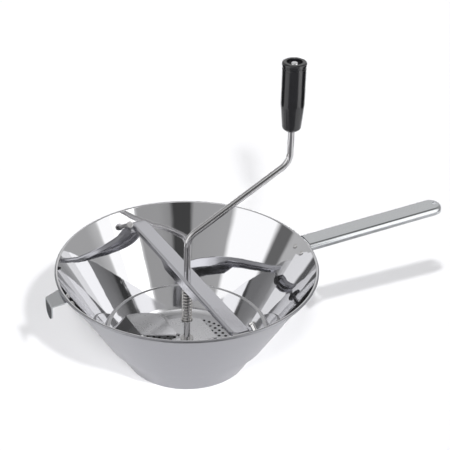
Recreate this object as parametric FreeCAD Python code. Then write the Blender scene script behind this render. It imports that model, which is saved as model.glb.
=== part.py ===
import FreeCAD, Part
import math
import os

# A hand-cranked food mill, in millimetres. The origin is the centre of the foot, on the surface that the
# mill stands on. +Z is up along the shaft, +X runs out along the handle, and the bar lies near Y.

# Bowl, drawn from one sheet and open at the foot
RIM_RADIUS = 120.0
BOWL_HEIGHT = 98.0
FOOT_RADIUS = 57.0
FOOT_FLANGE = 5.0
FOOT_BEND = 2.0
BOWL_SHEET = 0.8
RIM_BEAD_RADIUS = 1.5
SEAT_HEIGHT = 28.0
SEAT_STEP = 2.6
SEAT_BEND = 0.9
WELD_GAP = 0.05

# Sieve disc, a dish that hangs by its lip from the ledge in the bowl
DISC_SHEET = 0.8
DISC_DEPTH = 21.0
DISC_FLOOR_BEND = 10.0
DISC_SIDE_GAP = 0.4
DISC_LIP_GAP = 0.6
DISC_HOLE_RADIUS = 1.5
DISC_HOLE_PITCH = 5.4
DISC_PLAIN_CENTRE = 14.0
DISC_PLAIN_EDGE = 2.0
DISC_COLLAR_DEPTH = 2.4

# Crossbar, an inverted channel with deeper sides at the middle and a tab at each end
BAR_WIDTH = 16.5
BAR_SHEET = 1.2
BAR_DROP = 8.5
BAR_TURN = 5.0
BAR_EDGE_RADIUS = 2.5
BAR_END_DEPTH = 5.0
BAR_MID_DEPTH = 11.3
BAR_MID_LENGTH = 60.0
BAR_MID_RAMP = 8.0
BAR_WALL_GAP = 4.5
BAR_NOSE_RADIUS = 8.0
BAR_HEEL_RADIUS = 2.0
TAB_WIDTH = 5.0
TAB_LENGTH = 9.0
TAB_INSET = 1.0

# Catches on the bowl's wall, a round stud over each tab
CATCH_RADIUS = 2.2
CATCH_HEAD_RADIUS = 3.4
CATCH_HEAD_HEIGHT = 1.8
CATCH_HEAD_ROUND = 0.8
CATCH_LENGTH = 12.6
CATCH_GAP = 0.35
CATCH_BAR_GAP = 0.5

# Crank, one bent rod
ROD_RADIUS = 3.0
ROD_RUNNING_GAP = 0.08
ROD_TIP_HEIGHT = 2.5
ROD_TIP_ROUND = 0.8
CRANK_ELBOW_RISE = 28.0
CRANK_REACH = 99.0
CRANK_ARM_RISE = 59.0
CRANK_LOW_BEND = 14.0
CRANK_HIGH_BEND = 16.0
CRANK_STEM = 32.5
PIN_FIT = 0.02

# Grip, turned on the crank's stem
GRIP_LENGTH = 65.2
GRIP_RADIUS = 10.6
GRIP_COLLAR_RADIUS = 10.95
GRIP_COLLAR_HEIGHT = 3.2
GRIP_COLLAR_BEVEL = 1.4
GRIP_GROOVE_DEPTH = 0.35
GRIP_GROOVE_WIDTH = 1.0
GRIP_TAPER_LENGTH = 25.0
GRIP_TIP_RADIUS = 8.4
GRIP_TIP_BEVEL = 2.2
GRIP_RECESS_RADIUS = 7.1
GRIP_RECESS_DEPTH = 3.4
GRIP_END_PLAY = 0.3
STOP_RING_RADIUS = 4.6
STOP_RING_HEIGHT = 2.0
STOP_RING_INSET = 0.4
CAP_RADIUS = 3.7
CAP_HEIGHT = 2.4
CAP_CROWN_RADIUS = 2.6

# Spring between the bar and the washer on the shaft's cross pin
SPRING_WIRE_RADIUS = 0.6
SPRING_BORE_GAP = 0.85
SPRING_LENGTH = 49.0
SPRING_TURNS = 14
SPRING_LEAD_TURN = 0.2
WASHER_RADIUS = 5.4
WASHER_SHEET = 0.8
SPRING_PIN_RADIUS = 1.0
SPRING_PIN_LENGTH = 10.0
SPRING_PIN_GAP = 0.1

# Agitator, a flat plate with two wings folded up, on a pinned hub
BLADE_SHEET = 1.2
BLADE_FLOOR_GAP = 0.4
BLADE_WALL_GAP = 1.2
BLADE_FLAT_RADIUS = 46.0
BLADE_FLAT_WIDTH = 32.0
BLADE_EYE_RADIUS = 14.0
BLADE_TURN = 5.0
WING_ANGLE = 18.0
WING_WIDTH = 40.0
WING_ROOT = 19.0
WING_FOLD_RADIUS = 3.0
WING_RELIEF_RADIUS = 2.0
HUB_RADIUS = 6.0
HUB_HEIGHT = 9.0
HUB_PIN_RADIUS = 1.25

# Handle, an inverted channel with a round closed tip
HANDLE_LENGTH = 144.5
HANDLE_WIDTH = 22.0
HANDLE_DEPTH = 6.4
HANDLE_SHEET = 1.2
HANDLE_SHOULDER = 3.6
HANDLE_RISE = 0.9
HANDLE_TILT = 4.75
HANDLE_PLATE_WIDTH = 26.0
HANDLE_PLATE_LENGTH = 18.0
TIP_ROUNDNESS = 0.98
HANG_HOLE_RADIUS = 2.2
HANG_HOLE_INSET = 6.0

# Rest hook, a bent strip opposite the handle, wider at its root
HOOK_WIDTH = 18.5
HOOK_ROOT_WIDTH = 22.5
HOOK_SHEET = 1.2
HOOK_DROP = 9.0
HOOK_OVERHANG = 11.0
HOOK_SLOPE = 15.0
HOOK_TAB = 16.0
HOOK_BEND = 2.5
HOOK_PLATE_LENGTH = 15.0

# Rivets through the wall and the plates of the handle and the hook
RIVET_RADIUS = 1.5
RIVET_HEAD_RADIUS = 2.6
RIVET_HEAD_HEIGHT = 1.1
RIVET_CROWN_RADIUS = 1.56
RIVET_HEAD_GAP = 0.06
RIVET_FIT = 0.03
DRILL_OVERRUN = 2.0
RIVET_SPACING = 13.0
RIVET_DROP = 5.5

# Sizes that follow from those above
BEAD_R = RIM_RADIUS - RIM_BEAD_RADIUS
BEAD_Z = BOWL_HEIGHT - RIM_BEAD_RADIUS
WALL_RUN = BEAD_R - FOOT_RADIUS - SEAT_STEP
WALL_CHORD = math.hypot(WALL_RUN, BEAD_Z)
WALL_ANGLE = math.acos((RIM_BEAD_RADIUS - BOWL_SHEET) / WALL_CHORD) - math.atan2(BEAD_Z, WALL_RUN)
SIN_WALL = math.sin(WALL_ANGLE)
COS_WALL = math.cos(WALL_ANGLE)
TAN_WALL = math.tan(WALL_ANGLE)
DISC_FLOOR = SEAT_HEIGHT - DISC_DEPTH
ROD_HOLE = ROD_RADIUS + ROD_RUNNING_GAP
BAR_TOP = BOWL_HEIGHT - BAR_DROP
BAR_UNDERSIDE = BAR_TOP - BAR_SHEET
SPRING_TOP = BAR_UNDERSIDE - WASHER_SHEET
SPRING_BOTTOM = SPRING_TOP - SPRING_LENGTH
SPRING_RADIUS = ROD_RADIUS + SPRING_BORE_GAP + SPRING_WIRE_RADIUS
SPRING_PIN_Z = SPRING_BOTTOM - WASHER_SHEET - SPRING_PIN_GAP - SPRING_PIN_RADIUS
BLADE_BOTTOM = DISC_FLOOR + BLADE_FLOOR_GAP
HUB_BOTTOM = BLADE_BOTTOM + BLADE_SHEET
HUB_PIN_Z = HUB_BOTTOM + HUB_HEIGHT / 2
LOW_ELBOW_Z = BOWL_HEIGHT + CRANK_ELBOW_RISE
HIGH_ELBOW_Z = LOW_ELBOW_Z + CRANK_ARM_RISE
GRIP_BOTTOM = HIGH_ELBOW_Z + CRANK_STEM
GRIP_TOP = GRIP_BOTTOM + GRIP_LENGTH
STEM_TOP = GRIP_TOP - GRIP_RECESS_DEPTH + GRIP_END_PLAY
HANDLE_TOP = BOWL_HEIGHT + HANDLE_RISE
HOOK_TOP = BOWL_HEIGHT - HOOK_DROP
HOOK_REACH = RIM_RADIUS + HOOK_OVERHANG
BEAD_FOOT = BEAD_Z - RIM_BEAD_RADIUS

UP = FreeCAD.Vector(0, 0, 1)
ORIGIN = FreeCAD.Vector(0, 0, 0)


def inner_wall(z):
    """Radius of the bowl's inner face above the seat, at height z."""
    touch_r = BEAD_R - RIM_BEAD_RADIUS * COS_WALL
    touch_z = BEAD_Z + RIM_BEAD_RADIUS * SIN_WALL
    return touch_r - (touch_z - z) * TAN_WALL


def outer_wall(z):
    """Radius of the bowl's outer face above the seat, at height z."""
    return inner_wall(z) + BOWL_SHEET / COS_WALL


def disc_side_outer(z):
    """Radius of the outside of the sieve's conical side."""
    return inner_wall(z) - SEAT_STEP - DISC_SIDE_GAP


def disc_side_inner(z):
    """Radius of the inside of the sieve's conical side."""
    return disc_side_outer(z) - DISC_SHEET / COS_WALL


def rounded_edges(corners, closed=True):
    """Lines through the corners, each a point and a radius, with an arc of that radius at each corner."""
    points = [corner[0] for corner in corners]
    count = len(points)
    stations = []
    for index, (point, radius) in enumerate(corners):
        inside = closed or 0 < index < count - 1
        if radius <= 0 or not inside:
            stations.append((point, None, point))
            continue
        back = (points[index - 1] - point).normalize()
        ahead = (points[(index + 1) % count] - point).normalize()
        half = back.getAngle(ahead) / 2
        tangent = radius / math.tan(half)
        bisector = (back + ahead).normalize()
        middle = point + bisector * (radius / math.sin(half) - radius)
        stations.append((point + back * tangent, middle, point + ahead * tangent))
    edges = []
    for index, (start, middle, end) in enumerate(stations):
        if middle is not None:
            edges.append(Part.Arc(start, middle, end).toShape())
        if closed or index < count - 1:
            following = stations[(index + 1) % count][0]
            if end.distanceToPoint(following) > 1e-6:
                edges.append(Part.LineSegment(end, following).toShape())
    return edges


def rounded_face(corners):
    """A flat face inside a closed outline with rounded corners."""
    return Part.Face(Part.Wire(rounded_edges(corners)))


def section(pairs):
    """Corners in the XZ plane from (x, z) or (x, z, radius) tuples."""
    return [(FreeCAD.Vector(pair[0], 0, pair[1]), pair[2] if len(pair) > 2 else 0) for pair in pairs]


def plan(pairs, z):
    """Corners in a level plane at height z from (x, y) or (x, y, radius) tuples."""
    return [(FreeCAD.Vector(pair[0], pair[1], z), pair[2] if len(pair) > 2 else 0) for pair in pairs]


def turned(pairs):
    """A solid turned about the shaft's axis from a section of (r, z) corners."""
    return rounded_face(section(pairs)).revolve(ORIGIN, UP, 360)


def ring(outer, inner, bottom, top):
    """A plain ring on the shaft's axis."""
    return turned([(inner, bottom), (outer, bottom), (outer, top), (inner, top)])


def cylinder(radius, bottom, top):
    """A round bar on the shaft's axis."""
    return Part.makeCylinder(radius, top - bottom, FreeCAD.Vector(0, 0, bottom), UP)


def cone_between(radius_at, bottom, top):
    """A solid cone on the shaft's axis whose radius follows a function of the height."""
    return Part.makeCone(radius_at(bottom), radius_at(top), top - bottom, FreeCAD.Vector(0, 0, bottom), UP)


def turn(shape, degrees):
    """A copy turned about the shaft's axis."""
    copy = shape.copy()
    copy.rotate(ORIGIN, UP, degrees)
    return copy


def half_turn(shape):
    """A copy turned half a turn about the shaft's axis."""
    return turn(shape, 180)


def rivet_pair(shape, plate_top, side):
    """Two copies, on side +1 or -1 of X, of a shape built along +Z from the wall's inner face."""
    z = plate_top - RIVET_DROP
    moved = shape.copy()
    moved.rotate(ORIGIN, FreeCAD.Vector(0, 1, 0), 90 + math.degrees(WALL_ANGLE))
    moved.translate(FreeCAD.Vector(inner_wall(z), 0, z))
    placed = moved if side > 0 else half_turn(moved)
    spread = math.degrees(math.asin(RIVET_SPACING / 2 / inner_wall(z)))
    return Part.makeCompound([turn(placed, spread), turn(placed, -spread)])


def rivet_holes(plate_top, plate_sheet, side):
    """Drills for the rivets of one plate, through the wall and the plate."""
    depth = BOWL_SHEET + WELD_GAP + plate_sheet
    start = FreeCAD.Vector(0, 0, -DRILL_OVERRUN)
    drill = Part.makeCylinder(RIVET_RADIUS + RIVET_FIT, depth + 2 * DRILL_OVERRUN, start, UP)
    return rivet_pair(drill, plate_top, side)


def rivets(plate_top, plate_sheet, side):
    """The rivets of one plate, with a domed head on both faces."""
    depth = BOWL_SHEET + WELD_GAP + plate_sheet
    inner_face = -RIVET_HEAD_GAP
    outer_face = depth + RIVET_HEAD_GAP
    shape = turned([
        (0, inner_face - RIVET_HEAD_HEIGHT),
        (RIVET_CROWN_RADIUS, inner_face - RIVET_HEAD_HEIGHT, RIVET_HEAD_HEIGHT),
        (RIVET_HEAD_RADIUS, inner_face),
        (RIVET_RADIUS, inner_face),
        (RIVET_RADIUS, outer_face),
        (RIVET_HEAD_RADIUS, outer_face),
        (RIVET_CROWN_RADIUS, outer_face + RIVET_HEAD_HEIGHT, RIVET_HEAD_HEIGHT),
        (0, outer_face + RIVET_HEAD_HEIGHT),
    ])
    return rivet_pair(shape, plate_top, side)


def handle_plate_top():
    """Height of the top of the handle's plate, in the channel and just under the rim's bead."""
    return BEAD_FOOT - RIVET_HEAD_GAP


def hook_plate_top():
    """Height of the top of the hook's plate, where the sloping strip meets the wall."""
    slope = math.tan(math.radians(HOOK_SLOPE))
    meet = (HOOK_TOP + (HOOK_REACH - outer_wall(0)) * slope) / (1 + TAN_WALL * slope)
    return meet - HOOK_SHEET / 2


def make_bowl():
    """Conical bowl with a rolled rim, a ledge for the sieve and a flange round the open foot."""
    outward = FreeCAD.Vector(COS_WALL, 0, -SIN_WALL)
    along = FreeCAD.Vector(SIN_WALL, 0, COS_WALL)
    bead = FreeCAD.Vector(BEAD_R, 0, BEAD_Z)
    touch = bead - outward * RIM_BEAD_RADIUS
    inset = RIM_BEAD_RADIUS - BOWL_SHEET
    under = bead - outward * inset - along * math.sqrt(RIM_BEAD_RADIUS ** 2 - inset ** 2)
    step_under = SEAT_HEIGHT - BOWL_SHEET
    opening = FOOT_RADIUS - FOOT_FLANGE
    corners = [(under, 0)] + section([
        (outer_wall(step_under), step_under, SEAT_BEND),
        (outer_wall(step_under) - SEAT_STEP, step_under, SEAT_BEND),
        (FOOT_RADIUS, 0, FOOT_BEND),
        (opening, 0),
        (opening, BOWL_SHEET),
        (inner_wall(BOWL_SHEET) - SEAT_STEP, BOWL_SHEET, FOOT_BEND - BOWL_SHEET),
        (inner_wall(SEAT_HEIGHT) - SEAT_STEP, SEAT_HEIGHT, SEAT_BEND),
        (inner_wall(SEAT_HEIGHT), SEAT_HEIGHT, SEAT_BEND),
    ]) + [(touch, 0)]
    edges = rounded_edges(corners, closed=False)
    edges.append(Part.Arc(touch, bead + outward * RIM_BEAD_RADIUS, under).toShape())
    bowl = Part.Face(Part.Wire(edges)).revolve(ORIGIN, UP, 360)
    bowl = bowl.cut(rivet_holes(handle_plate_top(), HANDLE_SHEET, 1))
    return bowl.cut(rivet_holes(hook_plate_top(), HOOK_SHEET, -1))


def disc_flat_radius():
    """Radius of the sieve's flat floor, where the bend up into its side begins."""
    return disc_side_inner(DISC_FLOOR) - DISC_FLOOR_BEND * math.tan((math.pi / 2 - WALL_ANGLE) / 2)


def sieve_hole_places():
    """Places of the sieve's holes, in rings about a pitch apart."""
    last = disc_flat_radius() - DISC_PLAIN_EDGE - DISC_HOLE_RADIUS
    rings = int((last - DISC_PLAIN_CENTRE) / DISC_HOLE_PITCH) + 1
    places = []
    for index in range(rings):
        radius = DISC_PLAIN_CENTRE + index * DISC_HOLE_PITCH
        count = int(2 * math.pi * radius / DISC_HOLE_PITCH)
        for step in range(count):
            angle = 2 * math.pi * (step + 0.5 * (index % 2)) / count
            places.append(FreeCAD.Vector(radius * math.cos(angle), radius * math.sin(angle), DISC_FLOOR))
    return places


def make_sieve_disc():
    """Dished sieve: a lip on the ledge, a conical side, a perforated floor and a collar round the shaft."""
    floor_edge = disc_flat_radius() - DISC_PLAIN_EDGE / 2
    under = DISC_FLOOR - DISC_SHEET
    lip_top = SEAT_HEIGHT + DISC_SHEET
    lip_edge = inner_wall(SEAT_HEIGHT) - DISC_LIP_GAP
    side = turned([
        (floor_edge, under),
        (disc_side_outer(under), under, DISC_FLOOR_BEND + DISC_SHEET),
        (disc_side_outer(SEAT_HEIGHT), SEAT_HEIGHT),
        (lip_edge, SEAT_HEIGHT),
        (lip_edge, lip_top, DISC_SHEET / 2),
        (disc_side_inner(lip_top), lip_top),
        (disc_side_inner(DISC_FLOOR), DISC_FLOOR, DISC_FLOOR_BEND),
        (floor_edge, DISC_FLOOR),
    ])
    collar_radius = ROD_HOLE + DISC_SHEET
    collar = ring(collar_radius, ROD_HOLE, DISC_FLOOR - DISC_COLLAR_DEPTH, DISC_FLOOR)
    outline = Part.Wire(Part.makeCircle(floor_edge, FreeCAD.Vector(0, 0, DISC_FLOOR)))
    eye = Part.Wire(Part.makeCircle(collar_radius, FreeCAD.Vector(0, 0, DISC_FLOOR)))
    holes = [Part.Wire(Part.makeCircle(DISC_HOLE_RADIUS, place)) for place in sieve_hole_places()]
    sheet = Part.Face([outline, eye] + holes, "Part::FaceMakerBullseye")
    floor = sheet.extrude(FreeCAD.Vector(0, 0, -DISC_SHEET))
    return floor.fuse([side, collar]).removeSplitter()


def bar_half_length():
    """Half the bar's length, so that its lowest corners clear the wall."""
    reach = inner_wall(BAR_TOP - BAR_END_DEPTH) - BAR_WALL_GAP
    return math.sqrt(reach ** 2 - (BAR_WIDTH / 2) ** 2)


def make_crossbar():
    """Inverted channel along Y, bored for the shaft, with a tab on one side of each end."""
    half = bar_half_length()
    side = BAR_WIDTH / 2
    inside = side - BAR_SHEET
    deep = BAR_TOP - BAR_MID_DEPTH
    shallow = BAR_TOP - BAR_END_DEPTH
    inner_round = BAR_EDGE_RADIUS - BAR_SHEET
    channel = rounded_face(section([
        (-side, deep), (-side, BAR_TOP, BAR_EDGE_RADIUS), (side, BAR_TOP, BAR_EDGE_RADIUS), (side, deep),
        (inside, deep), (inside, BAR_UNDERSIDE, inner_round),
        (-inside, BAR_UNDERSIDE, inner_round), (-inside, deep),
    ])).extrude(FreeCAD.Vector(0, 2 * half, 0))
    channel.translate(FreeCAD.Vector(0, -half, 0))
    middle = BAR_MID_LENGTH / 2
    ramp = middle + BAR_MID_RAMP
    side_view = Part.Face(Part.makePolygon([FreeCAD.Vector(-side, y, z) for y, z in (
        (-half, BAR_TOP), (half, BAR_TOP), (half, shallow), (ramp, shallow), (middle, deep),
        (-middle, deep), (-ramp, shallow), (-half, shallow), (-half, BAR_TOP),
    )])).extrude(FreeCAD.Vector(BAR_WIDTH, 0, 0))
    top_view = rounded_face(plan([
        (side, half, BAR_NOSE_RADIUS), (-side, half, BAR_HEEL_RADIUS),
        (-side, -half, BAR_NOSE_RADIUS), (side, -half, BAR_HEEL_RADIUS),
    ], deep)).extrude(FreeCAD.Vector(0, 0, BAR_MID_DEPTH))
    bar = channel.common(side_view).common(top_view)
    tab = Part.makeBox(TAB_WIDTH + BAR_SHEET, TAB_LENGTH, BAR_SHEET,
                       FreeCAD.Vector(-side - TAB_WIDTH, half - TAB_INSET - TAB_LENGTH, shallow))
    bar = bar.fuse([tab, half_turn(tab)]).removeSplitter()
    return turn(bar.cut(cylinder(ROD_HOLE, deep, BAR_TOP)), BAR_TURN)


def make_catch():
    """Stud on the wall by the bar's back end: its shank holds the tab down, its head stops the bar."""
    aside = BAR_WIDTH / 2 + CATCH_BAR_GAP + CATCH_HEAD_RADIUS
    tab_end = bar_half_length() - TAB_INSET
    tab_top = BAR_TOP - BAR_END_DEPTH + BAR_SHEET
    axis_z = tab_top + CATCH_GAP + CATCH_RADIUS / COS_WALL
    slope = TAN_WALL
    foot_z = (axis_z - slope * (inner_wall(0) - tab_end)) / (1 + slope * TAN_WALL)
    neck = CATCH_LENGTH - CATCH_HEAD_HEIGHT
    stud = turned([
        (0, -CATCH_LENGTH), (CATCH_RADIUS, -CATCH_LENGTH), (CATCH_RADIUS, neck), (CATCH_HEAD_RADIUS, neck),
        (CATCH_HEAD_RADIUS, CATCH_LENGTH, CATCH_HEAD_ROUND), (0, CATCH_LENGTH),
    ])
    stud.rotate(ORIGIN, FreeCAD.Vector(1, 0, 0), 90 - math.degrees(WALL_ANGLE))
    stud.translate(FreeCAD.Vector(-aside, inner_wall(foot_z), foot_z))
    inside = cone_between(lambda z: inner_wall(z) - WELD_GAP, SEAT_HEIGHT, BOWL_HEIGHT)
    return turn(stud.common(inside), BAR_TURN)


def make_crank_rod():
    """One bent rod: the shaft, the sloping arm and the stem in the grip."""
    path = Part.Wire(rounded_edges(section([
        (0, ROD_TIP_HEIGHT), (0, LOW_ELBOW_Z, CRANK_LOW_BEND),
        (CRANK_REACH, HIGH_ELBOW_Z, CRANK_HIGH_BEND), (CRANK_REACH, STEM_TOP),
    ]), closed=False))
    start = Part.Wire(Part.makeCircle(ROD_RADIUS, FreeCAD.Vector(0, 0, ROD_TIP_HEIGHT), UP))
    rod = path.makePipeShell([start], True, False)
    tip = [edge for edge in rod.Edges if edge.BoundBox.ZMax < ROD_TIP_HEIGHT + 1e-3]
    rod = rod.makeFillet(ROD_TIP_ROUND, tip)
    return rod.cut(Part.makeCompound([
        cross_pin(SPRING_PIN_RADIUS + PIN_FIT, 4 * ROD_RADIUS, SPRING_PIN_Z),
        cross_pin(HUB_PIN_RADIUS + PIN_FIT, 4 * ROD_RADIUS, HUB_PIN_Z),
    ]))


def cross_pin(radius, length, z):
    """A round pin along X through the shaft's axis."""
    return Part.makeCylinder(radius, length, FreeCAD.Vector(-length / 2, 0, z), FreeCAD.Vector(1, 0, 0))


def make_agitator_blade():
    """Flat plate with two lobes and two wings folded up along radial lines, trimmed to clear the sieve."""
    top = BLADE_BOTTOM + BLADE_SHEET
    eye = cylinder(BLADE_EYE_RADIUS, BLADE_BOTTOM, top)
    corner = FreeCAD.Vector(0, 0, BLADE_BOTTOM)
    quarter = Part.makeBox(BLADE_FLAT_WIDTH, BLADE_FLAT_RADIUS, BLADE_SHEET, corner)
    lobe = cylinder(BLADE_FLAT_RADIUS, BLADE_BOTTOM, top).common(quarter)
    angle = math.radians(WING_ANGLE)
    run = WING_WIDTH * math.cos(angle)
    rise = WING_WIDTH * math.sin(angle)
    lap = WING_FOLD_RADIUS
    wing = rounded_face(section([
        (lap, BLADE_BOTTOM),
        (0, BLADE_BOTTOM, WING_FOLD_RADIUS + BLADE_SHEET),
        (-run, BLADE_BOTTOM + rise),
        (-run + BLADE_SHEET * math.sin(angle), BLADE_BOTTOM + rise + BLADE_SHEET * math.cos(angle)),
        (BLADE_SHEET * math.tan(angle / 2), top, WING_FOLD_RADIUS),
        (lap, top),
    ])).extrude(FreeCAD.Vector(0, RIM_RADIUS, 0))
    wing = wing.common(Part.makeBox(RIM_RADIUS, RIM_RADIUS, BOWL_HEIGHT, FreeCAD.Vector(-run, WING_ROOT, 0)))
    wing = wing.common(turned([
        (0, BLADE_BOTTOM),
        (disc_side_inner(BLADE_BOTTOM) - BLADE_WALL_GAP, BLADE_BOTTOM, DISC_FLOOR_BEND),
        (disc_side_inner(top + rise) - BLADE_WALL_GAP, top + rise),
        (0, top + rise),
    ]))
    fold_end = FreeCAD.Vector(0, WING_ROOT, BLADE_BOTTOM)
    relief = Part.makeCylinder(WING_RELIEF_RADIUS, rise + BLADE_SHEET, fold_end, UP)
    blade = eye.fuse([lobe, half_turn(lobe), wing, half_turn(wing)]).removeSplitter()
    bore = cylinder(ROD_RADIUS + PIN_FIT, BLADE_BOTTOM, top)
    blade = blade.cut(Part.makeCompound([bore, relief, half_turn(relief)]))
    return turn(blade, BLADE_TURN)


def make_agitator_hub():
    """Collar that joins the blade to the shaft, drilled for its pin."""
    hub = ring(HUB_RADIUS, ROD_RADIUS + PIN_FIT, HUB_BOTTOM, HUB_BOTTOM + HUB_HEIGHT)
    return hub.cut(cross_pin(HUB_PIN_RADIUS + PIN_FIT, 4 * HUB_RADIUS, HUB_PIN_Z))


def on_stem(shape):
    """Move a shape built on the shaft's axis onto the crank's stem."""
    shape.translate(FreeCAD.Vector(CRANK_REACH, 0, 0))
    return shape


def make_grip():
    """Turned grip: tapered foot, straight body, two fine grooves, a collar and a recess in its top."""
    taper_top = GRIP_BOTTOM + GRIP_TAPER_LENGTH
    collar = GRIP_TOP - GRIP_COLLAR_HEIGHT
    groove = collar - 2 * GRIP_GROOVE_WIDTH
    grooved = GRIP_RADIUS - GRIP_GROOVE_DEPTH
    recess = GRIP_TOP - GRIP_RECESS_DEPTH
    seat = GRIP_BOTTOM + STOP_RING_INSET + STOP_RING_HEIGHT + GRIP_END_PLAY
    seat_radius = STOP_RING_RADIUS + GRIP_END_PLAY
    grip = turned([
        (seat_radius, GRIP_BOTTOM),
        (GRIP_TIP_RADIUS - GRIP_TIP_BEVEL, GRIP_BOTTOM),
        (GRIP_TIP_RADIUS, GRIP_BOTTOM + GRIP_TIP_BEVEL, GRIP_TIP_BEVEL),
        (GRIP_RADIUS, taper_top, GRIP_TAPER_LENGTH),
        (GRIP_RADIUS, groove - GRIP_GROOVE_WIDTH),
        (grooved, groove - GRIP_GROOVE_WIDTH / 2),
        (grooved, groove + GRIP_GROOVE_WIDTH / 2),
        (GRIP_RADIUS, groove + GRIP_GROOVE_WIDTH),
        (GRIP_RADIUS, collar),
        (GRIP_COLLAR_RADIUS, collar + GRIP_GROOVE_DEPTH),
        (GRIP_COLLAR_RADIUS, GRIP_TOP - GRIP_COLLAR_BEVEL / 2, GRIP_COLLAR_BEVEL),
        (GRIP_COLLAR_RADIUS - GRIP_COLLAR_BEVEL, GRIP_TOP),
        (GRIP_RECESS_RADIUS, GRIP_TOP),
        (GRIP_RECESS_RADIUS, recess),
        (ROD_HOLE, recess),
        (ROD_HOLE, seat),
        (seat_radius, seat),
    ])
    return on_stem(grip)


def make_grip_stop_ring():
    """Ring on the stem that carries the grip."""
    bottom = GRIP_BOTTOM + STOP_RING_INSET
    return on_stem(ring(STOP_RING_RADIUS, ROD_RADIUS + PIN_FIT, bottom, bottom + STOP_RING_HEIGHT))


def make_grip_cap():
    """Domed cap on the end of the stem, which keeps the grip on."""
    return on_stem(turned([
        (0, STEM_TOP), (CAP_RADIUS, STEM_TOP), (CAP_RADIUS, STEM_TOP + CAP_HEIGHT / 3),
        (CAP_CROWN_RADIUS, STEM_TOP + CAP_HEIGHT, CAP_HEIGHT / 2), (0, STEM_TOP + CAP_HEIGHT),
    ]))


def arc_from_tangent(start, corner, end):
    """Arc from start to end whose tangents meet at corner."""
    chord_middle = (start + end) * 0.5
    cosine = start.distanceToPoint(end) / 2 / start.distanceToPoint(corner)
    sine = math.sqrt(1 - cosine ** 2)
    radius = start.distanceToPoint(end) / 2 / sine
    inward = (corner - chord_middle).normalize()
    return Part.Arc(start, chord_middle + inward * (radius * (1 - cosine)), end)


def biarc(start, start_tangent, end, end_tangent):
    """Two tangent arcs from one point and direction to another."""
    chord = end - start
    both = start_tangent + end_tangent
    a = 4 - both.dot(both)
    b = 2 * chord.dot(both)
    reach = (-b + math.sqrt(b * b + 4 * a * chord.dot(chord))) / (2 * a)
    first = start + start_tangent * reach
    second = end - end_tangent * reach
    joint = (first + second) * 0.5
    return [arc_from_tangent(start, first, joint), arc_from_tangent(joint, second, end)]


def spring_arcs():
    """The spring's centre line from the top down: a straight lead, turns in quarters, a straight lead."""
    lead = 2 * SPRING_WIRE_RADIUS
    run_in = 2 * lead
    drop = SPRING_LENGTH - 2 * (lead + run_in)
    quarters = 4 * SPRING_TURNS

    def on_helix(share):
        angle = 2 * math.pi * SPRING_TURNS * share
        radial = FreeCAD.Vector(math.cos(angle), math.sin(angle), 0)
        return radial * SPRING_RADIUS + FreeCAD.Vector(0, 0, SPRING_TOP - lead - run_in - drop * share)

    def helix_tangent(share):
        angle = 2 * math.pi * SPRING_TURNS * share
        speed = 2 * math.pi * SPRING_TURNS * SPRING_RADIUS
        return FreeCAD.Vector(-math.sin(angle) * speed, math.cos(angle) * speed, -drop).normalize()

    def lead_place(angle, z):
        return FreeCAD.Vector(math.cos(angle), math.sin(angle), 0) * SPRING_RADIUS + FreeCAD.Vector(0, 0, z)

    down = FreeCAD.Vector(0, 0, -1)
    before = -2 * math.pi * SPRING_LEAD_TURN
    after = 2 * math.pi * (SPRING_TURNS + SPRING_LEAD_TURN)
    top = lead_place(before, SPRING_TOP)
    bottom = lead_place(after, SPRING_BOTTOM)
    entry = top + down * lead
    leave = bottom - down * lead
    curves = [Part.LineSegment(top, entry)]
    curves += biarc(entry, down, on_helix(0), helix_tangent(0))
    for index in range(quarters):
        share = index / quarters
        ahead = (index + 1) / quarters
        curves += biarc(on_helix(share), helix_tangent(share), on_helix(ahead), helix_tangent(ahead))
    curves += biarc(on_helix(1), helix_tangent(1), leave, down)
    curves.append(Part.LineSegment(leave, bottom))
    return curves


def least_self_gap(curves):
    """Least clear distance between parts of the spring's wire that are over half a turn apart."""
    samples = []
    travelled = 0
    for curve in curves:
        length = curve.length()
        steps = max(2, int(length / SPRING_WIRE_RADIUS))
        span = curve.LastParameter - curve.FirstParameter
        for index in range(steps):
            place = curve.value(curve.FirstParameter + span * index / steps)
            samples.append((travelled + length * index / steps, place))
        travelled += length
    apart = math.pi * SPRING_RADIUS
    least = min(place.distanceToPoint(other)
                for index, (along, place) in enumerate(samples)
                for further, other in samples[index:] if further - along > apart)
    return least - 2 * SPRING_WIRE_RADIUS


def make_spring():
    """Compression spring wound as one tube round the shaft."""
    curves = spring_arcs()
    path = Part.Wire([curve.toShape() for curve in curves])
    radii = [edge.Curve.Radius for edge in path.Edges if hasattr(edge.Curve, "Radius")]
    print("spring: least gap %.2f mm, tightest bend %.2f mm" % (least_self_gap(curves), min(radii)))
    start = Part.Wire(Part.makeCircle(SPRING_WIRE_RADIUS, curves[0].value(curves[0].FirstParameter), UP))
    return path.makePipeShell([start], True, False)


def make_washer(bottom):
    """Flat washer on the shaft."""
    return ring(WASHER_RADIUS, ROD_HOLE, bottom, bottom + WASHER_SHEET)


def wall_plate(width, length, top, sheet, side):
    """Curved plate against the outside of the wall, on side +1 or -1 of X."""
    bottom = top - length * COS_WALL

    def skin(extra):
        return cone_between(lambda z: outer_wall(z) + extra / COS_WALL, bottom, top)

    shell = skin(WELD_GAP + sheet).cut(skin(WELD_GAP))
    slab = Part.makeBox(RIM_RADIUS, width, top - bottom, FreeCAD.Vector(0, -width / 2, bottom))
    plate = shell.common(slab)
    return plate if side > 0 else half_turn(plate)


def within_wall(bottom, top):
    """The space that the bowl's inside, wall and bead take up, with the weld gap, between two heights."""
    cone = cone_between(lambda z: outer_wall(z) + WELD_GAP / COS_WALL, bottom, top)
    return cone.fuse(cylinder(RIM_RADIUS + WELD_GAP, BEAD_FOOT - WELD_GAP, top))


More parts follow.
